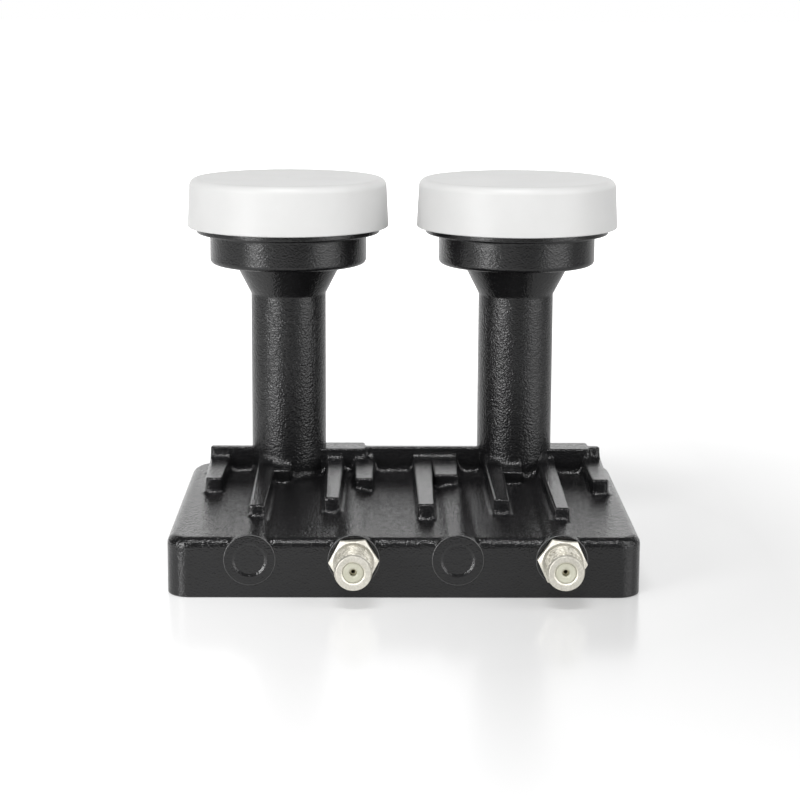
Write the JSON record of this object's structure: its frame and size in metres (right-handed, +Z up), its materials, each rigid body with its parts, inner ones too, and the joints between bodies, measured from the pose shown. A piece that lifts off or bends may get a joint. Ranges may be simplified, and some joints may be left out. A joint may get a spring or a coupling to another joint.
{
  "type": "satellite lnb",
  "caption": "Dual-feed satellite LNB: flat black ribbed casting with upright feed necks, white round feed caps and threaded coaxial ports along the front edge.",
  "frame": {"origin": "centre of the bounding box's footprint, on the surface that the standing rim rests on", "axes": "+Z up along the feeds, -Y out of the coaxial ports, +X across both feeds from left to right"},
  "size_m": [0.1202, 0.1128, 0.0992],
  "materials": {
    "black_coat": "fine-grained powder coat, satin",
    "white_cap": "moulded satin white",
    "nickel": "nickel plate, turned",
    "insulator": "natural moulded polymer",
    "contact": "plated spring brass",
    "seal_rubber": "matt",
    "board": "laminate with solder resist",
    "bare_casting": "as cast, satin",
    "screw_steel": "zinc plated",
    "component": "moulded package",
    "crystal_can": "pressed can",
    "ceramic": "fired ceramic"
  },
  "bodies": {
    "root": {"housing": "black_coat", "feed_cap_left": "white_cap", "feed_cap_right": "white_cap", "cap_seal_left": "seal_rubber", "cap_seal_right": "seal_rubber", "port_shell_left": "nickel", "port_shell_right": "nickel", "port_insulator_left": "insulator", "port_insulator_right": "insulator", "port_contact_left": "contact", "port_contact_right": "contact", "port_seal_left": "seal_rubber", "port_seal_right": "seal_rubber", "circuit_board": "board", "inner_shield": "bare_casting", "shield_screws": "screw_steel", "converter_chips": "component", "crystals": "crystal_can", "input_transistors": "component", "switch_chip": "component", "regulator": "component", "filter_capacitors": "ceramic", "cover_plate": "bare_casting", "cover_gasket": "seal_rubber", "cover_screws": "screw_steel"}
  },
  "joints": []
}
